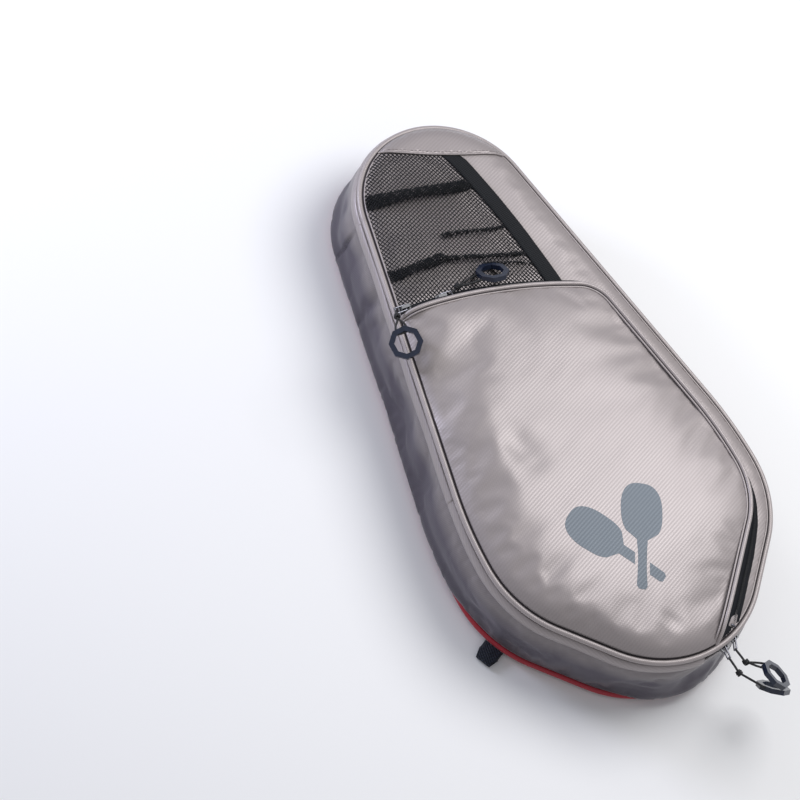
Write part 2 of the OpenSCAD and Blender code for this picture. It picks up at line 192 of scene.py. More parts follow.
def nearest(points, line, closed=False):
    """Distance of each point to a polyline."""
    a = line
    b = np.roll(line, -1, 0) if closed else line[1:]
    a = a if closed else a[:-1]
    best = np.full(len(points), 1e9)
    ab = b - a
    size = (ab ** 2).sum(1)
    for i in range(0, len(points), 2000):
        p = points[i:i + 2000, None]
        t = np.clip(((p - a) * ab).sum(-1) / size, 0, 1)
        d = np.linalg.norm(a + t[..., None] * ab - p, axis=-1)
        best[i:i + 2000] = d.min(1)
    return best


def from_edge(points):
    """Distance of each point to the case's outline."""
    return nearest(points, EDGE.p, closed=True)


def inside(points, polygon):
    x, y = points[:, 0], points[:, 1]
    result = np.zeros(len(points), bool)
    for (ax, ay), (bx, by) in zip(polygon, np.roll(polygon, -1, 0)):
        crosses = (ay > y) != (by > y)
        with np.errstate(divide="ignore", invalid="ignore"):
            result ^= crosses & (x < (bx - ax) * (y - ay) / (by - ay) + ax)
    return result


def region(polygon, spacing):
    """Triangles that fill a polygon: even points inside, and the polygon's own points."""
    low, high = polygon.min(0), polygon.max(0)
    rows = np.arange(low[1], high[1], spacing * 0.866)
    columns = np.arange(low[0], high[0], spacing)
    grid = np.vstack([np.stack((columns + (i % 2) * spacing / 2, np.full(len(columns), y)), -1)
                      for i, y in enumerate(rows)])
    grid = grid[inside(grid, polygon)]
    grid = grid[nearest(grid, polygon, closed=True) > spacing * 0.55]
    points = [Vector(p) for p in np.vstack((polygon, grid))]
    n = len(polygon)
    edges = [(i, (i + 1) % n) for i in range(n)]
    made = geometry.delaunay_2d_cdt(points, edges, [list(range(n))], 1, 1e-5)
    return np.array([tuple(v) for v in made[0]]), [tuple(f) for f in made[2]]


def case_face(inset, spacing, skip=2):
    """The case's outline drawn in and filled: points, triangles, and distance from the edge."""
    points, triangles = region(EDGE.out(-inset)[::skip], spacing)
    return points, triangles, from_edge(points)


def wander(points, scale, seed):
    """Smooth noise from a few seeded waves, about -1 to 1."""
    rng = np.random.default_rng(seed)
    total, weight = np.zeros(len(points)), 0
    for o in range(3):
        for _ in range(4):
            a = rng.uniform(0, 2 * np.pi)
            k = 2 * np.pi / (scale / 1.9 ** o) * rng.uniform(0.7, 1.3)
            total += 0.5 ** o * np.sin((points[:, 0] * math.cos(a) + points[:, 1] * math.sin(a)) * k
                                       + rng.uniform(0, 2 * np.pi))
        weight += 0.5 ** o * 2
    return total / weight


# ---- materials
def material(name, colour, roughness, metallic=0.0, sheen=0.0, coat=0.0, specular=0.5, build=None):
    m = bpy.data.materials.new(name)
    m.use_nodes = True
    tree = m.node_tree
    shader = tree.nodes["Principled BSDF"]
    shader.inputs["Base Color"].default_value = (*colour, 1)
    shader.inputs["Roughness"].default_value = roughness
    shader.inputs["Metallic"].default_value = metallic
    shader.inputs["Specular IOR Level"].default_value = specular
    if sheen:
        shader.inputs["Sheen Weight"].default_value = sheen
        shader.inputs["Sheen Roughness"].default_value = 0.4
    if coat:
        shader.inputs["Coat Weight"].default_value = coat
        shader.inputs["Coat Roughness"].default_value = 0.12
    m.diffuse_color = (*colour, 1)
    if build:
        build(Nodes(tree, shader), colour, roughness)
    return m


class Nodes:
    """Short names for shader nodes."""

    def __init__(self, tree, shader):
        self.tree, self.shader = tree, shader

    def add(self, kind, **values):
        n = self.tree.nodes.new("ShaderNode" + kind)
        for k, v in values.items():
            setattr(n, k, v)
        return n

    def link(self, out, to):
        self.tree.links.new(out, to)

    def math(self, operation, a, b=0.0):
        n = self.add("Math", operation=operation)
        for i, v in enumerate((a, b)):
            if isinstance(v, (int, float)):
                n.inputs[i].default_value = v
            else:
                self.link(v, n.inputs[i])
        return n.outputs[0]

    def mul(self, a, b):
        return self.math("MULTIPLY", a, b)

    def plus(self, a, b):
        return self.math("ADD", a, b)

    def uv(self):
        """Fabric coordinates in millimetres: X and Y."""
        n = self.add("TexCoord")
        s = self.add("SeparateXYZ")
        self.link(n.outputs["UV"], s.inputs[0])
        return self.mul(s.outputs[0], 1000), self.mul(s.outputs[1], 1000)

    def wave(self, x, y, angle, pitch):
        """0 to 1 ribs of a pitch in millimetres, that run across the angle."""
        c, s = math.cos(math.radians(angle)), math.sin(math.radians(angle))
        k = 2 * math.pi / pitch
        d = self.plus(self.mul(x, c * k), self.mul(y, s * k))
        return self.plus(self.mul(self.math("SINE", d), 0.5), 0.5)

    def noise(self, scale, detail=3.0, rough=0.5):
        """Noise in object space; scale is per metre."""
        t = self.add("TexCoord")
        n = self.add("TexNoise")
        self.link(t.outputs["Object"], n.inputs["Vector"])
        n.inputs["Scale"].default_value = scale
        n.inputs["Detail"].default_value = detail
        n.inputs["Roughness"].default_value = rough
        return n.outputs["Fac"]

    def ramp(self, value, stops):
        n = self.add("ValToRGB")
        ramp = n.color_ramp
        while len(ramp.elements) < len(stops):
            ramp.elements.new(0.5)
        for e, (at, colour) in zip(ramp.elements, stops):
            e.position = at
            e.color = (*colour, 1)
        self.link(value, n.inputs[0])
        return n.outputs[0]

    def bump(self, height, distance):
        n = self.add("Bump")
        n.inputs["Distance"].default_value = distance
        n.inputs["Strength"].default_value = 1.0
        self.link(height, n.inputs["Height"])
        self.link(n.outputs[0], self.shader.inputs["Normal"])


THREAD = 0.7


def tint(colour, f):
    return tuple(min(1, c * f) for c in colour)


def woven(rib_angle, rib_pitch, contrast, depth, mottling=0.08):
    """A cloth with diagonal ribs over a fine square weave."""
    def build(n, colour, roughness):
        x, y = n.uv()
        ribs = n.wave(x, y, rib_angle, rib_pitch)
        cross = n.mul(n.wave(x, y, rib_angle + 62, THREAD * 2.2), n.wave(x, y, rib_angle - 34, THREAD * 1.9))
        mix = n.plus(n.mul(ribs, 0.62), n.mul(cross, 0.38))
        blotch = n.noise(9.0, 4.0, 0.6)
        value = n.plus(n.mul(n.math("SUBTRACT", mix, 0.5), contrast),
                       n.mul(n.math("SUBTRACT", blotch, 0.5), mottling))
        value = n.plus(value, 0.5)
        n.link(n.ramp(value, [(0.0, tint(colour, 0.45)), (0.5, colour), (1.0, tint(colour, 1.5))]),
               n.shader.inputs["Base Color"])
        n.link(n.plus(n.mul(ribs, -0.12), roughness + 0.06), n.shader.inputs["Roughness"])
        n.bump(mix, depth)
    return build


def side_cloth_painted_shade(rib_angle, rib_pitch, contrast, depth):
    """The side wall's cloth with painted light: lighter and warmer by the front seam as a painted highlight, bluer and
    darker below as painted shade and a painted bluish reflection.
    """
    def build(n, colour, roughness):
        x, y = n.uv()
        ribs = n.wave(x, y, rib_angle, rib_pitch)
        rise = n.plus(n.math("DIVIDE", y, 52.0), n.mul(n.math("SUBTRACT", n.noise(14.0), 0.5), 0.16))
        # Painted light: the wall gets darker and bluer towards its bottom and lighter and warmer towards its top.
        base = n.ramp(rise, [(0.0, tint(colour, 0.62)), (0.35, tint(colour, 0.9)), (0.62, colour),
                             (0.86, (0.20, 0.178, 0.184))])
        shade = n.ramp(ribs, [(0.0, (1 - contrast,) * 3), (1.0, (1.0,) * 3)])
        m = n.add("Mix", data_type="RGBA", blend_type="MULTIPLY")
        m.inputs[0].default_value = 1.0
        n.link(base, m.inputs[6])
        n.link(shade, m.inputs[7])
        n.link(m.outputs[2], n.shader.inputs["Base Color"])
        n.bump(ribs, depth)
    return build


def ribbed(angle, pitch, depth, contrast=0.6, cross=0.0):
    """Woven band: ribs with a fainter weave across."""
    def build(n, colour, roughness):
        x, y = n.uv()
        a = n.wave(x, y, angle, pitch)
        b = n.wave(x, y, angle + 90, pitch * 1.3)
        mix = n.plus(n.mul(a, 1 - cross), n.mul(b, cross))
        n.link(n.ramp(mix, [(0.0, tint(colour, 1 - contrast)), (1.0, tint(colour, 1 + contrast))]),
               n.shader.inputs["Base Color"])
        n.bump(mix, depth)
    return build


def speckled(scale, contrast, depth=0.0, wear=0.0):
    """Moulded or metal surface: faint mottling, and worn bright edges."""
    def build(n, colour, roughness):
        fine = n.noise(scale, 4.0, 0.6)
        base = n.ramp(fine, [(0.25, tint(colour, 1 - contrast)), (0.75, tint(colour, 1 + contrast))])
        if wear:
            g = n.add("NewGeometry")
            sharp = n.ramp(g.outputs["Pointiness"], [(0.52, (0, 0, 0)), (0.58, (wear, wear, wear))])
            m = n.add("Mix", data_type="RGBA")
            n.link(sharp, m.inputs[0])
            n.link(base, m.inputs[6])
            m.inputs[7].default_value = (0.5, 0.5, 0.52, 1)
            base = m.outputs[2]
        n.link(base, n.shader.inputs["Base Color"])
        n.link(n.plus(n.mul(fine, 0.16), roughness - 0.08), n.shader.inputs["Roughness"])
        if depth:
            n.bump(fine, depth)
    return build


FRONT = (0.325, 0.290, 0.290)
# The side wall and back use the front cloth darkened and tinted blue: painted shade with a painted bluish reflection.
GUSSET_PAINTED_SHADE = (0.080, 0.069, 0.092)
LOOKS = {
    "front_fabric": (FRONT, 0.44, dict(metallic=0.35, sheen=0.15, build=woven(112, 2.4, 0.13, 0.00006))),
    "gusset_fabric": (GUSSET_PAINTED_SHADE, 0.42, dict(metallic=0.15, sheen=0.2, specular=0.4,
                                         build=side_cloth_painted_shade(50, 1.6, 0.12, 0.00005))),
    "light_piping": ((0.36, 0.32, 0.318), 0.4, dict(metallic=0.2, sheen=0.2,
                                                    build=woven(35, 1.4, 0.25, 0.00007))),
    "red_piping": ((0.34, 0.008, 0.022), 0.45, dict(sheen=0.3, build=woven(35, 1.2, 0.3, 0.00008))),
    "black_mesh": ((0.007, 0.008, 0.010), 0.7, dict(specular=0.2, build=speckled(900, 0.35))),
    "black_binding": ((0.009, 0.010, 0.012), 0.75, dict(specular=0.25,
                                                        build=ribbed(0, 1.5, 0.0004, 0.8, 0.3))),
    "black_webbing": ((0.010, 0.014, 0.026), 0.6, dict(sheen=0.1, specular=0.35,
                                                       build=ribbed(35, 1.9, 0.0006, 0.7, 0.4))),
    "zip_tape": ((0.007, 0.008, 0.011), 0.75, dict(specular=0.25, build=ribbed(45, 0.9, 0.00012, 0.45, 0.5))),
    "zip_coil": ((0.02, 0.021, 0.024), 0.36, dict(build=speckled(700, 0.3))),
    "lining": ((0.09, 0.09, 0.10), 0.55, dict(sheen=0.3, build=woven(45, 0.9, 0.3, 0.00006))),
    "slider_metal": ((0.016, 0.017, 0.021), 0.36, dict(metallic=0.45, build=speckled(500, 0.25, wear=0.3))),
    "wire_metal": ((0.21, 0.21, 0.24), 0.3, dict(metallic=1.0, build=speckled(800, 0.15))),
    "cord": ((0.010, 0.010, 0.012), 0.6, dict(build=ribbed(58, 0.9, 0.0002, 0.6, 0.5))),
    "grip_rubber": ((0.010, 0.015, 0.032), 0.22, dict(coat=0.3, build=speckled(350, 0.3, 0.00003))),
    "seam_shadow": ((0.035, 0.029, 0.032), 0.85, dict(specular=0.2, build=woven(45, 0.8, 0.3, 0.00005))),
    "thread": ((0.22, 0.19, 0.195), 0.6, dict(sheen=0.3, build=ribbed(60, 0.5, 0.0001, 0.4))),
    "mark_ink": ((0.125, 0.150, 0.180), 0.5, dict(metallic=0.1,
                                                  build=woven(112, 2.5, 0.16, 0.0001, mottling=0.15))),
}
mat = {name: material(name, colour, rough, **more) for name, (colour, rough, more) in LOOKS.items()}


# ---- meshes
def new_object(name, data):
    o = bpy.data.objects.new(name, data)
    bpy.context.scene.collection.objects.link(o)
    return o


def make(name, points, faces, body, slot, uv=None, replaces=(), flat=False, blend=None):
    """A mesh piece from points in millimetres."""
    mesh = bpy.data.meshes.new(name)
    mesh.from_pydata((np.asarray(points, float) * MM).tolist(), [], [tuple(int(i) for i in f) for f in faces])
    mesh.materials.append(mat[slot])
    if not flat:
        mesh.polygons.foreach_set("use_smooth", np.ones(len(mesh.polygons), bool))
    if uv is not None:
        layer = mesh.uv_layers.new(name="UVMap")
        index = np.zeros(len(mesh.loops), np.int32)
        mesh.loops.foreach_get("vertex_index", index)
        layer.data.foreach_set("uv", (np.asarray(uv, float) * MM)[index].astype(np.float32).ravel())
    mesh.update()
    o = new_object(name, mesh)
    if blend:
        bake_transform(o)
    else:
        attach(o, body)
    if replaces:
        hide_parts(*replaces)
    return o


def grid_faces(nu, nv, closed_u=False, closed_v=False):
    iu = np.arange(nu if closed_u else nu - 1)
    iv = np.arange(nv if closed_v else nv - 1)
    u, v = np.meshgrid(iu, iv, indexing="ij")
    u2, v2 = (u + 1) % nu, (v + 1) % nv
    return np.stack((u * nv + v, u2 * nv + v, u2 * nv + v2, u * nv + v2), -1).reshape(-1, 4)


def grid(name, points, body, slot, closed_u=False, flip=False, **more):
    """points is nu x nv x 3. UVs are lengths along the first row and column."""
    nu, nv = points.shape[:2]
    faces = grid_faces(nu, nv, closed_u)
    if flip:
        faces = faces[:, ::-1]
    along = lengths(points[:, nv // 2])
    across = lengths(points[0])
    uv = np.stack(np.meshgrid(along, across, indexing="ij"), -1).reshape(-1, 2)
    return make(name, points.reshape(-1, 3), faces, body, slot, uv=uv, **more)


def heading(path, closed=False):
    return np.roll(path, -1, 0) - np.roll(path, 1, 0) if closed else np.gradient(path, axis=0)


def frames(path, closed=False):
    """Side and up vectors along a 3-D path, carried on from its first point without a twist."""
    tangent = unit_rows(heading(path, closed))
    side = np.zeros_like(path)
    previous = None
    for i, t in enumerate(tangent):
        s = np.cross(t, (0, 0, 1)) if previous is None else previous - (previous @ t) * t
        if np.linalg.norm(s) < 1e-4:
            s = np.cross(t, (1, 0, 0))
        previous = s / np.linalg.norm(s)
        side[i] = previous
    return side, np.cross(side, tangent)


def tube(name, path, radius, body, slot, sides=12, closed=False, level=False, **more):
    """A round tube along a path in millimetres."""
    path = np.asarray(path, float)
    if level:
        tangent = heading(path, closed)
        side = unit_rows(np.cross(tangent, (0, 0, 1)))
        up = np.cross(side, unit_rows(tangent))
    else:
        side, up = frames(path, closed)
    a = np.linspace(0, 2 * np.pi, sides, endpoint=False)[None, :, None]
    rings = path[:, None] + radius * (np.cos(a) * side[:, None] + np.sin(a) * up[:, None])
    nu = len(path)
    faces = [tuple(f) for f in grid_faces(nu, sides, closed, True)]
    points = rings.reshape(-1, 3)
    along = lengths(path)
    round_it = np.linspace(0, 2 * np.pi * radius, sides, endpoint=False)
    uv = np.stack(np.meshgrid(along, round_it, indexing="ij"), -1).reshape(-1, 2)
    if not closed:
        faces.append(tuple(range(sides))[::-1])
        faces.append(tuple((nu - 1) * sides + i for i in range(sides)))
    return make(name, points, faces, body, slot, uv=uv, **more)


def thicken(o, thickness_mm, offset=-1):
    m = o.modifiers.new("cloth_thickness", "SOLIDIFY")
    m.thickness, m.offset = thickness_mm * MM, offset
    return o


def stitches(name, path, body, pitch=3.2, length=2.3, radius=0.28, slot="thread"):
    """Separate thread stitches along a 3-D path."""
    path = np.asarray(path, float)
    along = lengths(path)
    starts = np.arange(0.5, along[-1] - length, pitch)
    points, faces, uvs = [], [], []
    for s in starts:
        at = sampled(s + np.array([0, 0.3, 0.7, 1]) * length, along, path)
        at[:, 2] += np.array([-0.2, 0.16, 0.16, -0.2])
        side, up = frames(at)
        base = len(points)
        for i in range(4):
            for k in range(5):
                a = 2 * np.pi * k / 5
                points.append(at[i] + radius * (math.cos(a) * side[i] + math.sin(a) * up[i]))
                uvs.append((s + i, k * 0.3))
        faces += [tuple(base + j for j in f) for f in grid_faces(4, 5, False, True)]
    return make(name, np.array(points), faces, body, slot, uv=np.array(uvs))


def boundary(mesh):
    """Which points lie on an open edge."""
    b = bmesh.new()
    b.from_mesh(mesh)
    found = np.array([v.is_boundary for v in b.verts])
    b.free()
    return found


FRAMES_RUN = 18


def settle(o, pinned, pressure, slack, cap, bending=0.4):
    """Lets a piece of cloth swell and crease between its seams, then keeps the shape it took."""
    group = o.vertex_groups.new(name="seams")
    group.add([int(i) for i in np.flatnonzero(pinned)], 1.0, "REPLACE")
    m = o.modifiers.new("cloth", "CLOTH")
    c = m.settings
    c.quality, c.mass = 6, 0.25
    c.tension_stiffness = c.compression_stiffness = 9.0
    c.shear_stiffness, c.bending_stiffness = 3.0, bending
    c.use_pressure, c.uniform_pressure_force = True, pressure
    c.shrink_min = -slack
    c.vertex_group_mass = "seams"
    c.effector_weights.gravity = 0
    m.point_cache.frame_start, m.point_cache.frame_end = 1, FRAMES_RUN
    scene = bpy.context.scene
    for f in range(1, FRAMES_RUN + 1):
        scene.frame_set(f)
    dg = bpy.context.evaluated_depsgraph_get()
    co = np.array([v.co for v in o.evaluated_get(dg).data.vertices], float)
    rest = np.array([v.co for v in o.data.vertices], float)
    o.modifiers.remove(m)
    o.vertex_groups.remove(group)
    scene.frame_set(1)
    move = co - rest
    size = np.linalg.norm(move, axis=1)
    limit = cap * MM
    move *= (limit * np.tanh(size / limit) / np.maximum(size, 1e-9))[:, None]
    o.data.vertices.foreach_set("co", (rest + move).astype(np.float32).ravel())
    o.data.update()
    return o


def tree_of(o):
    return BVHTree.FromPolygons([v.co.copy() for v in o.data.vertices], [tuple(f.vertices) for f in o.data.polygons])


def dropped(tree, points, fallback):
    """Height of a surface under each point, in millimetres."""
    z = np.array(fallback, float)
    for i, (x, y) in enumerate(points):
        hit = tree.ray_cast(Vector((x * MM, y * MM, 0.3)), Vector((0, 0, -1)))
        if hit[0]:
            z[i] = hit[0].z / MM
    return z


def lift(points2, z):
    return np.column_stack((points2, np.broadcast_to(z, len(points2))))


# ---- heights
EDGE_Z = 70.0


def lid_height(p):
    """The front panel's surface: it rolls down into the piping and swells on the zip side."""
    d = from_edge(p)
    z = 71.6 + 2.7 * smooth(d, 0, 9) + 1.5 * smooth(d, 4, 60)
    right = smooth(p[:, 0] * flank_n[0] + (p[:, 1] - NARROW_C[1]) * flank_n[1], 30, 62)
    z += 1.4 * right * smooth(d, 1, 14) * (1 - smooth(d, 16, 40))
    return z + 0.5 * wander(p, 90, 3) * smooth(d, 2, 20)


def dip(p, a, b, width, depth):
    """A soft crease from a to b."""
    a, b = np.array(a, float), np.array(b, float)
    t = np.clip(((p - a) @ (b - a)) / ((b - a) @ (b - a)), 0, 1)
    d = np.linalg.norm(p - a - t[:, None] * (b - a), axis=1)
    return -depth * np.exp(-(d / width) ** 2) * (0.55 + 0.45 * np.sin(np.pi * np.clip(t, 0.02, 0.98)))


def pocket_height(p):
    sewn = from_edge(p)
    zipped = nearest(p, ZIP.p)
    rise = 1 - np.exp(-np.clip(sewn - 1.5, 0, None) / (4.6 + 4.4 * smooth(p[:, 1], -215, -120)))
    z = 73.0 + (7.0 + 4.6 * smooth(p[:, 1], -232, -150)) * rise
    z += 4.6 * (1 - np.exp(-zipped / 26)) * smooth(sewn, 0, 20 + 24 * smooth(p[:, 1], -215, -120))
    z += dip(p, (-50, 56), (-100, 16), 15, 3.4)
    z += dip(p, (-64, -28), (-60, -56), 13, 2.8)
    z += dip(p, (92, 30), (98, -60), 9, 1.4)
    z += dip(p, (-24, -217), (-14, -210), 9, 1.5)
    z += dip(p, (0, 84), (-10, 40), 14, 0.9)
    z += 0.35 * wander(p, 70, 11) * smooth(zipped, 2, 20) * smooth(sewn, 2, 20)
    return z


def zip_height(points):
    """The piping's middle, which comes down to the case's edge at both of its ends."""
    sewn = from_edge(points)
    return 69.8 + 15.2 * (1 - np.exp(-np.clip(sewn - 0.6, 0, None) / 6.0))


# ---- shell
n_edge = len(EDGE.s)
GUSSET_LOW, GUSSET_HIGH = 8.6, 57.9

# The side wall: a padded band that sags over the red piping on the left and at the tip
v = np.linspace(0, 1, 27)
tip_near = np.exp(-((EDGE_TIP_ANGLE + 84) / 22) ** 2) * (EDGE.p[:, 1] < -150)
out = 1.2 + 2.6 * np.sin(np.pi * v[None]) ** 0.9 + tip_near[:, None] * 4.5 * np.exp(-((v[None] - 0.28) / 0.22) ** 2)
s_mm = EDGE.s[:, None]
sags = smooth(-EDGE.p[:, 0], -20, 30) * smooth(EDGE.p[:, 1], -150, -95)
sags = sags + smooth(EDGE.p[:, 0], -62, -28) * (EDGE.p[:, 1] < -150) * (1 - smooth(EDGE.p[:, 0], 60, 80))
out = out + 4.6 * sags[:, None] * np.exp(-((v[None] - 0.10) / 0.11) ** 2)
folds = (0.9 * np.sin(s_mm / 17.0 + 2.1 * np.sin(s_mm / 61.0) + 3 * v[None])
         + 0.6 * np.sin(s_mm / 7.3 + 1.3 * np.sin(s_mm / 29.0)) * v[None])
out = out + folds * np.sin(np.pi * v[None]) * 0.9
slant = s_mm / 46.0 + 1.1 * np.sin(s_mm / 83.0) + 2.4 * v[None]
out = out + 1.5 * (np.maximum(np.sin(slant), 0.1) ** 2 - 0.4) * np.sin(np.pi * v[None])


def fold_at(angle_point, width, height, depth):
    """A dent in the side wall at a place round the edge."""
    i = np.argmin(away(EDGE.p, angle_point))
    ds = np.abs(EDGE.s - EDGE.s[i])
    ds = np.minimum(ds, EDGE.length - ds)
    return -depth * np.exp(-(ds[:, None] / width) ** 2) * np.exp(-((v[None] - height) / 0.3) ** 2)


out = out + fold_at((-91, 126), 7, 0.75, 3.6) + fold_at((-65, 212), 12, 0.6, 3.2) + fold_at((-60, -222), 14, 0.5, 2.2)
wall = np.zeros((n_edge, len(v), 3))
wall[..., :2] = EDGE.p[:, None] + out[..., None] * EDGE.n[:, None]
wall[..., 2] = (GUSSET_LOW + (GUSSET_HIGH - GUSSET_LOW) * v[None]
                - 2.6 * sags[:, None] * np.exp(-((v[None] - 0.06) / 0.1) ** 2))
# The side wall's cloth is the front cloth darkened and tinted blue: painted shade and a painted bluish reflection.
gusset = grid("gusset_side", wall, "shell", "gusset_fabric", closed_u=True, replaces=("gusset_wall",))
settle(gusset, boundary(gusset.data), -0.8, 0.02, 2.4)
thicken(gusset, 1.3)

tube("back_piping_cord", lift(EDGE.out(2.3), 5.2), 2.7, "shell", "red_piping", closed=True, level=True,
     replaces=("back_piping",))
# A thin dark tube along the red piping's seam: painted shadow.
tube("back_piping_seam_shadow", lift(EDGE.out(2.0), 8.3), 0.45, "shell", "seam_shadow", sides=6, closed=True, level=True)

# Back face and the compartment's padded floor
p2, tris, d = case_face(0.6, 6.0)
z = 1.9 - 1.9 * smooth(d, 0, 14)
# The back face uses the same darkened cloth: painted shade.
make("back_face", lift(p2, z + 0.02), [f[::-1] for f in tris], "shell", "gusset_fabric", uv=p2 * (-1, 1),
     replaces=("back_panel", "back_foam"))
p2, tris, d = case_face(1.6, 6.0)
z = 8.3 + 1.9 * smooth(d, 3, 30) + 0.35 * wander(p2, 60, 5) * smooth(d, 4, 20)
floor_pad = make("compartment_floor", lift(p2, z), tris, "shell", "lining", uv=p2, replaces=("back_lining",))
LINING_LOW, LINING_HIGH = 7.4, 58.0
lining_v = np.linspace(0, 1, 9)
lining_in = 2.3 + 0.7 * np.sin(np.pi * lining_v)[None] + 0.25 * np.sin(s_mm / 9)
inner = np.zeros((n_edge, 9, 3))
inner[..., :2] = EDGE.p[:, None] - lining_in[..., None] * EDGE.n[:, None]
inner[..., 2] = LINING_LOW + (LINING_HIGH - LINING_LOW) * lining_v[None]
grid("compartment_side_lining", inner, "shell", "lining", closed_u=True, flip=True, replaces=("gusset_lining",))

# ---- zip cover strip and fold
STRIP_LOW, STRIP_HIGH = 57.2, 67.5


def strip(name, path, body, top_out, replaces=(), blend=None):
    """The band beside the front piping: it covers the zip, and its lower seam meets the side wall."""
    t = np.linspace(0, 1, 9)
    o = 1.7 + 2.7 * np.sin(np.pi * np.clip(t * 0.9 + 0.1, 0, 1)) ** 0.8 + (top_out - 1.7) * t
    pts = np.zeros((len(path.p), 9, 3))
    pts[..., :2] = path.p[:, None] + (o[None] + 0.25 * np.sin(path.s[:, None] / 11))[..., None] * path.n[:, None]
    pts[..., 2] = STRIP_LOW + (STRIP_HIGH - STRIP_LOW) * t[None]
    return thicken(grid(name, pts, body, "front_fabric", replaces=replaces, blend=blend), 0.7)


def run_of(mask):
    """The edge's samples where the mask holds, in order from where it starts to hold."""
    order = np.roll(np.arange(n_edge), -np.argmax(mask & ~np.roll(mask, 1)))
    return order[mask[order]]


def edge_run(first, last):
    """Samples of the edge from one index to another, the way the outline runs."""
    return EDGE.part(np.arange(first, last + 1 + (n_edge if last < first else 0)) % n_edge)


def edge_index(point):
    return int(np.argmin(np.linalg.norm(EDGE.p - np.array(point), axis=1)))


FLANK_LENGTH = 247
FLANK_TOP = n_edge - 1
FLANK_FOOT = int(np.flatnonzero((EDGE.p[:, 0] < 0) & (EDGE_ON_LEFT < -FLANK_LENGTH))[-1])
COVER_START = edge_index(TIP_C + TIP_R * unit(-90.5))
COVER_END = edge_index(NARROW_C + NARROW_R * unit(84))
hinge_xy = (NARROW_C + NARROW_R * left_n - 120 * left_up) * MM
strip("fold_strip", edge_run(FLANK_FOOT, FLANK_TOP), None, 1.9, replaces=("gusset_hinge_strip",),
      blend=("shell", "lid", (*hinge_xy, 0.0575), (*hinge_xy, 0.0672)))
strip("zip_cover_low", edge_run(COVER_START, FLANK_FOOT + 3), "shell", 1.7)
strip("zip_cover_high", edge_run(FLANK_TOP - 3, COVER_END), "shell", 1.7)

# ---- zips
def tape(name, path, outs, zs, body, replaces):
    pts = np.zeros((len(path.p), len(outs), 3))
    for i, (o, z) in enumerate(zip(outs, zs)):
        pts[:, i, :2] = path.out(o)
        pts[:, i, 2] = z
    return thicken(grid(name, pts, body, "zip_tape", replaces=replaces), 0.5, 0)


TEETH_PITCH = 1.5


def teeth(name, path3, inward, up, body, replaces, size=(0.95, 1.2, 0.5), blend=None):
    """Moulded teeth along a path: small rounded bars that point inward."""
    along = lengths(path3)
    at = np.arange(TEETH_PITCH / 2, along[-1], TEETH_PITCH)
    c = sampled(at, along, path3)
    a = sampled(at, along, inward)
    u = sampled(at, along, up)
    a = unit_rows(a)
    u = unit_rows(u)
    t = np.cross(a, u)
    w, l, h = size[0] / 2, size[1], size[2]
    corners = [(-1, -0.3, 0.8), (1, -0.3, 0.8), (0.75, 1.0, 0.7), (-0.75, 1.0, 0.7)]
    pts, faces = [], []
    for k in (-1, 1):
        for x, y, z in corners:
            pts.append(c + w * x * t * (1 if k < 0 else 0.6) + l * y * a * (1 if k < 0 else 0.85) + h * k * u)
    pts = np.stack(pts, 1)
    n = len(at)
    box = np.array([(0, 3, 2, 1), (4, 5, 6, 7), (0, 1, 5, 4), (1, 2, 6, 5), (2, 3, 7, 6), (3, 0, 4, 7)])
    faces = (box[None] + 8 * np.arange(n)[:, None, None]).reshape(-1, 4)
    return make(name, pts.reshape(-1, 3), faces, body, "zip_coil", uv=pts.reshape(-1, 3)[:, :2], replaces=replaces,
                flat=True, blend=blend)


idx = run_of(~((EDGE.p[:, 0] < 0) & (EDGE_ON_LEFT < 0) & (EDGE_ON_LEFT > -FLANK_LENGTH)))
main_run = EDGE.part(idx)
up3 = np.tile((0.0, 0.0, 1.0), (len(idx), 1))
tape("main_zip_tape_shell", main_run, (-0.2, 0.3, 0.6), (57.0, 60.0, 62.0), "shell", ("main_zip_lower_tape",))
tape("main_zip_tape_lid", main_run, (0.6, 0.3, -0.2), (64.1, 66.0, 68.2), "lid", ("main_zip_upper_tape",))
n3 = np.column_stack((main_run.n, np.zeros(len(idx))))
teeth("main_zip_teeth_shell", lift(main_run.out(0.5), 61.9), up3, n3, "shell", ("main_zip_lower_coil",))
teeth("main_zip_teeth_lid", lift(main_run.out(0.5), 64.1), -up3, n3, "lid", ("main_zip_upper_coil",))

# ---- lid
tube("front_piping_cord", lift(EDGE.out(0.6), EDGE_Z), 2.25, "lid", "light_piping", closed=True, level=True,
     sides=14, replaces=("front_piping",))
# A thin dark tube inside the front piping: painted shadow.
tube("front_piping_seam_shadow", lift(EDGE.out(-1.75), 72.0), 0.62, "lid", "seam_shadow", sides=6, closed=True, level=True)
tube("front_piping_inner_fold", lift(EDGE.out(-3.0), 72.3), 0.8, "lid", "light_piping", sides=8, closed=True,
     level=True)

p2, tris, d = case_face(1.6, 4.0, skip=1)
front = make("front_panel_skin", lift(p2, lid_height(p2)), tris, "lid", "front_fabric", uv=p2,
             replaces=("front_panel", "front_foam"))
settle(front, boundary(front.data), 3.0, 0.006, 0.7)
front_tree = tree_of(front)
panel_height = lid_height


def lid_height(p):
    """Height of the settled front panel."""
    p = np.atleast_2d(p)
    return dropped(front_tree, p, panel_height(p))


p2, tris, d = case_face(2.4, 6.0)
z = 67.6 - 1.4 * smooth(d, 3, 30) + 0.3 * wander(p2, 60, 9) * smooth(d, 4, 20)
lid_lining = make("lid_lining_pad", lift(p2, z), [f[::-1] for f in tris], "lid", "lining", uv=p2,
                  replaces=("front_lining",))

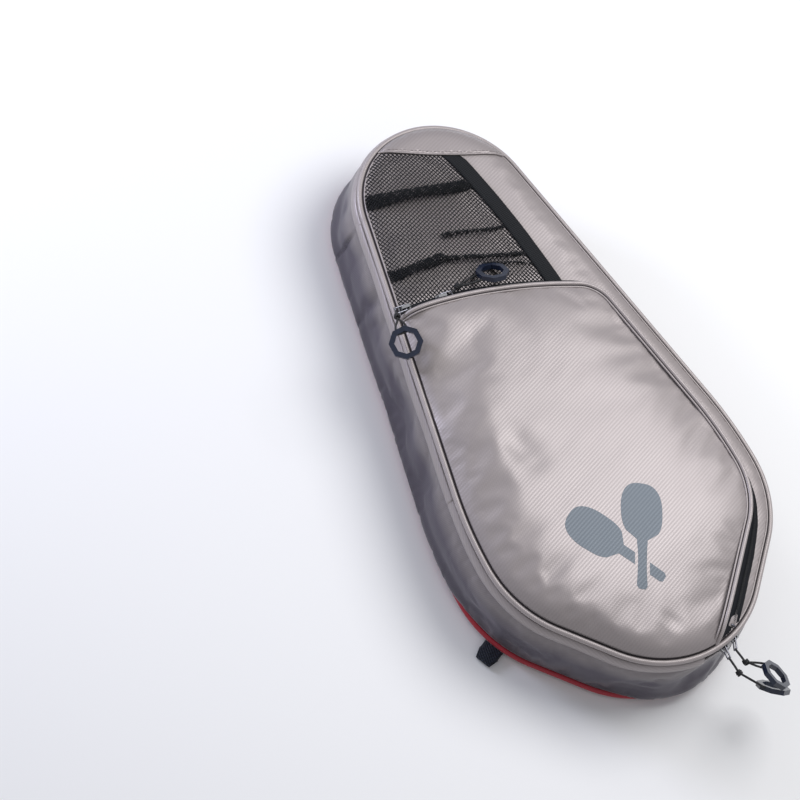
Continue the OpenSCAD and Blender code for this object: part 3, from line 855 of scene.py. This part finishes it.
# Cap over the narrow end
cap_a, cap_b = np.array([-36.0, 235.0]), np.array([69.0, 196.0])
cap_dir = (cap_b - cap_a) / np.linalg.norm(cap_b - cap_a)
cap_up = np.array([-cap_dir[1], cap_dir[0]])
edge_in = EDGE.out(-1.7)
run = run_of((edge_in - cap_a) @ cap_up > 0)
seam_t = np.linspace(0, 1, 44)
seam_line = edge_in[run[-1]] + seam_t[:, None] * (edge_in[run[0]] - edge_in[run[-1]])
seam_line = seam_line - 2.2 * (np.sin(np.pi * seam_t))[:, None] * cap_up
cap_poly = np.vstack((edge_in[run], seam_line[1:-1]))


def cap_height(p):
    return lid_height(p) + 1.5


p2, tris = region(cap_poly, 3.0)
cap = make("narrow_end_cap", lift(p2, cap_height(p2)), tris, "lid", "front_fabric", uv=p2, replaces=("top_cap",))
thicken(cap, 1.0)
hem = seam_line + 2.4 * cap_up
stitches("cap_stitching", lift(hem, cap_height(hem) + 0.1)[2:-2], "lid")
tube("cap_hem", lift(seam_line, cap_height(seam_line) - 0.35), 0.75, "lid", "front_fabric", sides=8)

# ---- mesh pocket
BIND_C, BIND_R, BIND_W = np.array([-594.5, 34.6]), 642.0, 12.5
at_corner = np.argmin(away(ZIP.p, (78, 45)))
share = ZIP.s / ZIP.length
corner_share = share[at_corner]
# How wide the zip tape shows along the pocket: narrow past the corner, wide towards the foot
TAPE_OUT = (7.6 - 4.6 * smooth(share, corner_share - 0.05, corner_share + 0.06) + 3.2 * smooth(share, 0.50, 0.62)
            + 8.0 * smooth(share, 0.66, 0.88) * (1 - 0.25 * smooth(share, 0.96, 1.0)))
TAPE_OUT = np.minimum(TAPE_OUT, 13.5)
tape_line = ZIP.out(TAPE_OUT)

bind_angles = np.linspace(0.4, 18.5, 90)
bind_line = BIND_C + BIND_R * unit(bind_angles)
below_cap = (bind_line - seam_line[0]) @ cap_up < 5.0
above_zip = np.array([nearest(b[None], ZIP.p)[0] > 5.0 and b[1] > 60 for b in bind_line])
bind_line = bind_line[below_cap & above_zip]
bind_path = Path(bind_line, unit(np.degrees(np.arctan2(*(bind_line - BIND_C).T[::-1]))), 1.0)


def bind_height(p):
    return lid_height(p) + 0.8 - 1.7 * smooth((p - seam_line[0]) @ cap_up, -9, -2)


pts = np.zeros((len(bind_path.p), 9, 3))
for i, x in enumerate(np.linspace(-0.5, 0.5, 9)):
    pts[:, i, :2] = bind_path.out(x * BIND_W)
    pts[:, i, 2] = bind_height(pts[:, i, :2]) + 0.7 * (1 - (2 * x) ** 2)
thicken(grid("mesh_edge_binding", pts, "lid", "black_binding", replaces=("mesh_binding",)), 0.9)
for side in (-1, 1):
    line = bind_path.out(side * (BIND_W / 2 - 1.4))
    stitches(f"binding_stitching_{1 if side < 0 else 2}", lift(line, bind_height(line) + 0.62), "lid", 2.8, 1.9, 0.22,
             "black_binding")


def mesh_region_mask(p):
    """Points of the mesh pocket."""
    ok = (from_edge(p) > 2.6) & inside(p, EDGE.p) & ((p - seam_line[0]) @ cap_up < 1.0)
    ok &= away(p, BIND_C) < BIND_R - BIND_W / 2 + 1.5
    return ok & (away(p, POCKET_C) > POCKET_R + 6.0) & (p[:, 1] > 60)


# Each fold of the net: its ends, half width, height and bend
FOLDS = [((-74, 199), (26, 182), 6.6, 3.0, 1.6), ((-88, 133), (-34, 129), 5.6, 2.8, 1.4),
         ((-40, 129), (54, 107), 2.6, 2.2, 1.2), ((-22, 147), (38, 137), 2.0, 2.0, 1.0),
         ((-2, 112), (60, 95), 1.4, 1.5, 0.8)]


def fold_profile(p):
    """Height of the mesh's folds, and which points lie in one."""
    h, layer = np.zeros(len(p)), np.zeros(len(p), bool)
    for a, b, half, rise, bend in FOLDS:
        a, b = np.array(a, float), np.array(b, float)
        along = (b - a) / np.linalg.norm(b - a)
        across = np.array([-along[1], along[0]])
        t = ((p - a) @ along) / np.linalg.norm(b - a)
        off = (p - a) @ across + bend * 2.0 * np.sin(np.pi * np.clip(t, 0, 1)) + 0.5 * np.sin(t * 9 + half)
        fade = smooth(t, -0.04, 0.05) * (1 - smooth(t, 0.95, 1.06))
        h += rise * fade * np.exp(-(off / (half * 0.9)) ** 2)
        layer |= (np.abs(off) < half * (1.0 - 0.32 * t + 0.12 * np.cos(t * 7))) & (t > -0.02) & (t < 1.02)
    return h, layer


def mesh_height(p):
    """The net lies loose in its middle and flat by its seams and by the pocket's zip."""
    loose = smooth(from_edge(p), 2, 30) * (1 - smooth(away(p, BIND_C), BIND_R - 34, BIND_R - 6))
    loose = loose * smooth((seam_line[0] - p) @ cap_up, 0, 14)
    near = smooth(away(p, POCKET_C), POCKET_R + 10, POCKET_R + 28)
    loose = loose * near
    folds = fold_profile(p)[0] * (0.15 * near + 0.85 * smooth(loose, 0, 0.4))
    return lid_height(p) + 0.4 + 2.8 * loose + folds + 0.5 * wander(p, 38, 21) * loose


def net(name, mask, height, pitch, thread, turn, replaces=()):
    """A knitted net as real threads: two families of crossing zigzag threads."""
    points, faces, uvs, count = [], [], [], 0
    step = pitch / 2
    for family in (0, 1):
        angle = turn + (46 if family else -46)
        a = unit(angle)
        b = np.array([-a[1], a[0]])
        for k in range(-260, 261):
            t = np.arange(-330, 330) * step
            wobble = 0.05 * pitch * np.sin(np.pi * np.arange(len(t)) / 2 + np.pi * (k % 2))
            line = NARROW_C - (20, 60) + k * pitch * 0.92 * b + t[:, None] * a + wobble[:, None] * b
            near = (line[:, 0] > -95) & (line[:, 0] < 80) & (line[:, 1] > 60) & (line[:, 1] < 245)
            if not near.any():
                continue
            ok = np.zeros(len(t), bool)
            ok[near] = mask(line[near])
            runs = np.flatnonzero(np.diff(np.r_[0, ok.astype(int), 0]))
            for i0, i1 in zip(runs[::2], runs[1::2]):
                if i1 - i0 < 2:
                    continue
                seg = line[i0:i1]
                z = height(seg) + 0.16 * np.cos(np.pi * np.arange(i0, i1) + family * np.pi)
                seg3 = np.column_stack((seg, z))
                side = np.array([b[0], b[1], 0])
                r = thread / 2
                ring = np.stack((seg3 + r * side, seg3 + (0, 0, r * 0.5), seg3 - r * side, seg3 - (0, 0, r * 0.5)), 1)
                points.append(ring.reshape(-1, 3))
                n = i1 - i0
                faces.append(grid_faces(n, 4, False, True) + count)
                uvs.append(ring.reshape(-1, 3)[:, :2])
                count += 4 * n
    return make(name, np.vstack(points), np.vstack(faces), "lid", "black_mesh", uv=np.vstack(uvs),
                replaces=replaces)


def folded_mask(p):
    return mesh_region_mask(p) & fold_profile(p)[1]


mesh_net = net("mesh_net", mesh_region_mask, mesh_height, 2.75, 0.74, -22, ("mesh_panel",))
net("mesh_net_folds", folded_mask, lambda p: mesh_height(p) + 1.0, 2.1, 0.85, -14)
net("mesh_net_folds_under", folded_mask, lambda p: mesh_height(p) - 0.9, 2.1, 0.85, -31)

# ---- front pocket
fold_dir = (ZIP_FOOT - ZIP_LEFT) / np.linalg.norm(ZIP_FOOT - ZIP_LEFT)
fold_side = np.array([-fold_dir[1], fold_dir[0]])
mid = (ZIP_LEFT + ZIP_FOOT) / 2
# Two places, from the lid's side of the fold line to the flap's; here the pieces given them are only baked in place,
# not bent
FOLD_BLEND = ("lid", "flap", *(tuple(np.r_[mid + off * fold_side, 84.0] * MM) for off in (-2, 14)))

tail = EDGE.out(-2.2)
i_left = np.argmin(away(tail, ZIP_LEFT))
i_foot = np.argmin(away(tail, ZIP_FOOT))
sewn_line = tail[i_foot: i_left + 1] if i_foot < i_left else np.vstack((tail[i_foot:], tail[: i_left + 1]))
pocket_poly = np.vstack((ZIP.out(-0.9)[1:-1], sewn_line))
p2, tris = region(pocket_poly, 3.4)
pocket = make("pocket_face", lift(p2, pocket_height(p2)), tris, "lid", "front_fabric", uv=p2,
              replaces=("pocket_panel", "pocket_flap"))
settle(pocket, boundary(pocket.data), 1.2, 0.006, 3.0, bending=4.0)
pocket_tree = tree_of(pocket)
pocket.parent = None
del pocket["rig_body"]
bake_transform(pocket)

zip_z = zip_height(ZIP.p)
piping_line = lift(ZIP.out(0.4), zip_z + 0.5)


def tucked(line):
    """The line with both ends carried on, down under the front piping."""
    ends = []
    for end, before in ((line[1], line[4]), (line[-2], line[-5])):
        ahead = (end - before)[:2] / np.linalg.norm((end - before)[:2])
        ends.append([np.r_[end[:2] + 1.6 * ahead, end[2] - 1.9], np.r_[end[:2] + 3.2 * ahead, 69.8]])
    return np.vstack((ends[0][::-1], line[1:-1], ends[1]))


def beside_zip(inset, above):
    line = ZIP.out(-inset)
    return lift(line, zip_height(line) + above)


tube("pocket_piping_cord", tucked(piping_line), 1.75, None, "light_piping", sides=12, level=True, blend=FOLD_BLEND,
     replaces=("pocket_piping",))
# A thin dark tube beside the pocket piping: painted shadow.
tube("pocket_piping_seam_shadow", beside_zip(1.7, 0.5)[2:-2], 0.5, None, "seam_shadow", sides=6, level=True,
     blend=FOLD_BLEND)
tube("pocket_piping_flange", tucked(beside_zip(2.7, 0.35)), 0.75, None, "light_piping", sides=8, level=True,
     blend=FOLD_BLEND)

deck = lid_height(tape_line) + 0.7
inner_z = zip_z - 1.3
SPLIT = 0.74


def band_point(x):
    """A row along the zip tape, x from 0 at the piping to 1 at the lid, and how far in from the edge it is."""
    flat = ZIP.out(-0.6 + (TAPE_OUT + 0.6) * x ** 1.15)
    sewn = from_edge(flat) * np.where(inside(flat, EDGE.p), 1, -1)
    z = inner_z + (deck - inner_z) * (1 - (1 - x) ** 2.2)
    return np.column_stack((flat, np.minimum(z, 69.4 + 1.25 * np.clip(sewn, 0, None)))), sewn


def zip_band(name, t0, t1, body, replaces=(), blend=None, first=0, last=None):
    """Part of the sloping zip tape, t from 0 under the piping to 1 where it is sewn down."""
    n = 5
    rows = [band_point(x) for x in np.linspace(t0, t1, n)]
    pts, sewn = np.stack([r[0] for r in rows], 1), np.stack([r[1] for r in rows], 1).reshape(-1)
    faces = grid_faces(len(ZIP.p), n)[:, ::-1]
    faces = faces[(sewn[faces] > 0.4).all(1) & (faces >= first * n).all(1)]
    faces = faces[(faces < (last or len(ZIP.p)) * n).all(1)]
    used, index = np.unique(faces, return_inverse=True)
    uv = np.stack(np.meshgrid(ZIP.s, np.linspace(0, 8, n), indexing="ij"), -1).reshape(-1, 2)
    return thicken(make(name, pts.reshape(-1, 3)[used], index.reshape(faces.shape), body, "zip_tape", uv=uv[used],
                        replaces=replaces, blend=blend), 0.5, 0)


# The tape's first steps stay with the lid, under the slider that rests there
ZIP_END = 12
zip_band("pocket_zip_tape_flap", 0.0, SPLIT - 0.03, None, replaces=("pocket_zip_inner_tape",), blend=FOLD_BLEND,
         first=ZIP_END)
zip_band("pocket_zip_tape_end", 0.25, SPLIT - 0.03, "lid", last=ZIP_END + 1)
zip_band("pocket_zip_tape_lid", SPLIT + 0.03, 1.0, "lid", replaces=("pocket_zip_outer_tape",))

q0, q1 = band_point(SPLIT - 0.05)[0], band_point(SPLIT + 0.05)[0]
across = unit_rows(q1 - q0)
along3 = np.gradient(q0, axis=0)
up_z = np.cross(across, along3)
up_z *= np.sign(up_z[:, 2:3])
up_z = unit_rows(up_z)
middle, middle_sewn = band_point(SPLIT)
shown = middle_sewn > 2.6
middle, across, up_z = (middle + 0.35 * up_z)[shown], across[shown], up_z[shown]
POCKET_TOOTH = (0.9, 1.0, 0.4)
teeth("pocket_zip_teeth_flap", (middle - 0.75 * across)[ZIP_END:], across[ZIP_END:], up_z[ZIP_END:], None,
      ("pocket_zip_inner_coil",), blend=FOLD_BLEND, size=POCKET_TOOTH)
teeth("pocket_zip_teeth_lid", middle + 0.75 * across, -across, up_z, "lid", ("pocket_zip_outer_coil",),
      size=POCKET_TOOTH)

# The mark: two crossed paddles, laid on the pocket's face
def paddle_shape(turn, grow=0.0):
    """Outline of a small paddle, turned about the middle of its handle."""
    a = np.linspace(-0.25 * math.pi, 1.25 * math.pi, 48)
    blade = np.stack(((14.0 + grow) * np.sign(np.cos(a)) * np.abs(np.cos(a)) ** 0.75,
                      36 + (19.5 + grow) * np.sign(np.sin(a)) * np.abs(np.sin(a)) ** 0.8), -1)
    w = 3.6 + grow
    handle = np.array([(-w, 16 - grow), (-w, -15 - grow), (-w + 1.4, -17 - grow),
                       (w - 1.4, -17 - grow), (w, -15 - grow), (w, 16 - grow)])
    pts = np.vstack((blade, handle))
    c, s = math.cos(math.radians(turn)), math.sin(math.radians(turn))
    return pts @ np.array([[c, s], [-s, c]])


def decal(name, polygon, hole, height):
    """A printed shape just above a surface; the hole's outline is cut out of it."""
    shapes = [polygon] if hole is None else [polygon, hole]
    low, high = polygon.min(0), polygon.max(0)
    x, y = np.meshgrid(np.arange(low[0], high[0], 2.2), np.arange(low[1], high[1], 2.2))
    dots = np.stack((x.ravel(), y.ravel()), -1)
    for shape in shapes:
        dots = dots[nearest(dots, shape, closed=True) > 0.9]
    edges, start = [], 0
    for shape in shapes:
        edges += [(start + i, start + (i + 1) % len(shape)) for i in range(len(shape))]
        start += len(shape)
    made = geometry.delaunay_2d_cdt([Vector(p) for p in np.vstack(shapes + [dots])], edges, [], 0, 1e-5)
    q = np.array([tuple(v) for v in made[0]])
    t = np.array([tuple(f) for f in made[2]])
    middle = q[t].mean(1)
    keep = inside(middle, polygon)
    for shape in shapes[1:]:
        keep &= ~inside(middle, shape)
    used, index = np.unique(t[keep], return_inverse=True)
    q, t = q[used], index.reshape(-1, 3)
    turned = np.cross(q[t[:, 1]] - q[t[:, 0]], q[t[:, 2]] - q[t[:, 0]]) < 0
    t[turned] = t[turned][:, ::-1]
    return make(name, lift(q, height(q) + 0.12), t, None, "mark_ink", uv=q, blend=FOLD_BLEND)


def on_pocket(p):
    return dropped(pocket_tree, p, pocket_height(p))


HANDLE, MARK_SCALE = np.array([-20.0, -166.0]), 1.22
decal("mark_paddle_1", HANDLE + MARK_SCALE * paddle_shape(32), HANDLE + MARK_SCALE * paddle_shape(-30, 1.4), on_pocket)
decal("mark_paddle_2", HANDLE + MARK_SCALE * paddle_shape(-30), None, on_pocket)

# ---- small parts
def curve_through(points, n):
    """A smooth line through points, evenly resampled."""
    p = np.asarray(points, float)
    p = np.vstack((2 * p[0] - p[1], p, 2 * p[-1] - p[-2]))
    t = np.linspace(0, 1, 24, endpoint=False)[:, None]
    run = [0.5 * (2 * b + (c - a) * t + (2 * a - 5 * b + 4 * c - d) * t ** 2 + (3 * b - a - 3 * c + d) * t ** 3)
           for a, b, c, d in zip(p, p[1:], p[2:], p[3:])]
    run = np.vstack(run + [p[-2:-1]])
    along = lengths(run)
    at = np.linspace(0, along[-1], n)
    return sampled(at, along, run), along[-1]


CORD_R = 0.9
# Each puller's cord: the wire's outer end, the knot, and where it enters and leaves the grip
PULLERS = {
    "main_pull_cord_1": ("main_puller_1", (20.9, -254.8, 63.0), (23.5, -268.0, 60.5),
                         (43.0, -280.4, 45.5), (42.2, -286.6, 52.7)),
    "main_pull_cord_2": ("main_puller_2", (29.7, -250.5, 63.0), (31.5, -263.0, 64.0),
                         (45.4, -272.7, 68.1), (38.3, -275.8, 73.7)),
    "pocket_pull_cord_1": ("pocket_puller_1", (-93.3, 99.9, 79.8), (-98.5, 92.5, 87.4),
                         (-105.7, 79.9, 85.6), (-97.1, 78.5, 89.3)),
    "pocket_pull_cord_2": ("pocket_puller_2", (-42.0, 97.8, 79.8), (-36.0, 100.5, 82.5),
                         (-14.0, 104.0, 83.5), (-14.0, 97.0, 88.0)),
}
for name, (body, end, knot, left, right_end) in PULLERS.items():
    end, knot, left, right_end = (np.array(q, float) for q in (end, knot, left, right_end))
    along = (knot - end) / np.linalg.norm(knot - end)
    spread = (right_end - left) / np.linalg.norm(right_end - left)
    onward = (left + right_end) / 2 - knot
    onward /= np.linalg.norm(onward)
    route = [end, (end + knot) / 2 + 0.35 * spread, knot, knot + 4.2 * onward - 1.3 * spread,
             0.45 * knot + 0.55 * left - 0.9 * spread, left, left + 1.2 * onward + 0.25 * (right_end - left),
             right_end + 1.2 * onward - 0.25 * (right_end - left), right_end,
             0.45 * knot + 0.55 * right_end + 0.9 * spread, knot + 4.2 * onward + 1.3 * spread, knot + 1.2 * onward]
    line, length = curve_through(route, 110)
    cord = tube(f"{name}_braid", line, CORD_R, body, "cord", sides=10, replaces=(name,))
    side = np.cross(along, onward)
    if np.linalg.norm(side) < 0.2:
        side = np.cross(along, (0.0, 0.0, 1.0))
    side /= np.linalg.norm(side)
    other = np.cross(along, side)
    turn = np.linspace(0, 2 * np.pi * 2.6, 70)
    swell = 1.55 + 0.45 * np.sin(np.linspace(0, np.pi, 70))
    coil = (knot + np.linspace(-1.9, 1.9, 70)[:, None] * along
            + swell[:, None] * (np.cos(turn)[:, None] * side + np.sin(turn)[:, None] * other))
    knot_piece = tube(f"{name}_knot", coil, 0.85, body, "cord", sides=8)

# Webbing tab: a strip folded back on itself, with its fold outermost
TAB_TURN, TAB_W = 206.0, 17.0
tab_dir = unit(TAB_TURN)
tab_side = np.array([-tab_dir[1], tab_dir[0]])
tab_from = SHOULDER_C * (-1, 1) + (SHOULDER_R - 1.0) * tab_dir
t = np.linspace(0, 1, 15)
out_run = np.stack((t * 20.5, 0.6 + 0.5 * t), -1)
bend = np.linspace(-np.pi / 2, np.pi / 2, 9)
loop = np.stack((20.5 + 1.0 * np.cos(bend), 2.1 + 1.0 * np.sin(bend)), -1)
back_run = np.stack(((1 - t) * 20.5, 3.1 + 0.5 * np.sin(np.pi * (1 - t)) - 0.4 * (1 - t)), -1)
profile = np.vstack((out_run, loop[1:-1], back_run))
width_t = np.linspace(-0.5, 0.5, 9)
tab = np.zeros((len(profile), 9, 3))
rounding = 1.0 - 2.6 * np.clip(np.abs(width_t) - 0.34, 0, None) ** 2 * 6
reach = profile[:, :1] * rounding[None]
tab[..., :2] = tab_from + reach[..., None] * tab_dir + (width_t * TAB_W)[None, :, None] * tab_side
tab[..., 2] = profile[:, 1:] + 0.25 * np.cos(np.pi * 3 * width_t)[None] * (profile[:, :1] > 4)
thicken(grid("webbing_tab_loop", tab, "shell", "black_webbing", replaces=("webbing_tab",)), 0.9, 0)

# Pocket zip stops: small crimped bars across the teeth
for i, at in enumerate((3, len(middle) - 3)):
    c, a, u = middle[at] + 0.5 * up_z[at], across[at], up_z[at]
    run = c + np.linspace(-2.0, 2.0, 9)[:, None] * a + (0.35 * np.cos(np.linspace(-1.4, 1.4, 9)))[:, None] * u
    tube(f"pocket_zip_stop_{i + 1}", run, 0.75, "lid", "wire_metal", sides=8,
         replaces=("pocket_zip_stops",) if i == 0 else ())

# The sliders, wires and grips keep their CAD shape, with rounded corners
HARD_PARTS = (("slider", "slider_metal"), ("pull_wire", "wire_metal"), ("stops", "wire_metal"), ("grip", "grip_rubber"))
for name, node in nodes.items():
    if node.hide_render:
        continue
    wanted = next((slot for word, slot in HARD_PARTS if word in name), None)
    if not wanted:
        continue
    node.data.materials.clear()
    node.data.materials.append(mat[wanted])
    width = {"grip_rubber": 0.0012, "slider_metal": 0.0004, "wire_metal": 0.0001}[wanted]
    b = node.modifiers.new("rounded", "BEVEL")
    b.width, b.segments, b.limit_method, b.angle_limit = width, 3, "ANGLE", math.radians(35)
    if wanted != "slider_metal":
        node.data.polygons.foreach_set("use_smooth", np.ones(len(node.data.polygons), bool))
        node.modifiers.new("normals", "WEIGHTED_NORMAL")

# ---- stage, light and camera
FLOOR_SIZE, FLOOR_Z = 8.0, -0.0005
mesh = bpy.data.meshes.new("floor")
mesh.from_pydata([(x * FLOOR_SIZE, y * FLOOR_SIZE, FLOOR_Z) for x, y in ((-1, -1), (1, -1), (1, 1), (-1, 1))], [],
                 [(0, 1, 2, 3)])
mesh.materials.append(material("floor", (0.86, 0.86, 0.87), 0.9))
new_object("floor", mesh)

cam_at = Vector((-1.12684, -0.62363, 2.03784))
right = Vector((0.84158475, -0.46551201, 0.27392274))
up = Vector((0.319387, 0.83788308, 0.4426555))
forward = Vector((0.43557668, 0.28504476, -0.85382811))
cam = bpy.data.cameras.new("camera")
cam.lens, cam.sensor_width = 134.02, 36.0
cam.clip_start, cam.clip_end = 0.05, 50
camera = new_object("camera", cam)
camera.matrix_world = Matrix.Translation(cam_at) @ Matrix((right, up, -forward)).transposed().to_4x4()
bpy.context.scene.camera = camera


def lamp(name, at, towards, size, power, colour=(1, 1, 1)):
    data = bpy.data.lights.new(name, "AREA")
    data.shape, data.size, data.energy, data.color = "DISK", size, power, colour
    o = new_object(name, data)
    o.location = at
    o.rotation_mode = "QUATERNION"
    o.rotation_quaternion = (Vector(towards) - Vector(at)).to_track_quat("-Z", "Y")


centre = Vector((0, 0, 0.05))
lamp("key", Vector((0.50, 0.02, 1.02)), Vector((0, -0.16, 0.08)), 0.8, 9.0)
lamp("top", centre + 1.7 * (0.85 * up - 0.35 * right - 0.35 * forward), centre, 0.6, 3)
lamp("side", Vector((-0.8, 1.0, 0.45)), Vector((-0.07, 0.19, 0.04)), 0.35, 8, (0.76, 0.80, 1.0))
world = bpy.data.worlds.new("studio")
world.use_nodes = True
world.node_tree.nodes["Background"].inputs[0].default_value = (0.95, 0.96, 1.0, 1)
world.node_tree.nodes["Background"].inputs[1].default_value = 0.44
bpy.context.scene.world = world
bpy.context.scene.view_settings.view_transform = "Standard"
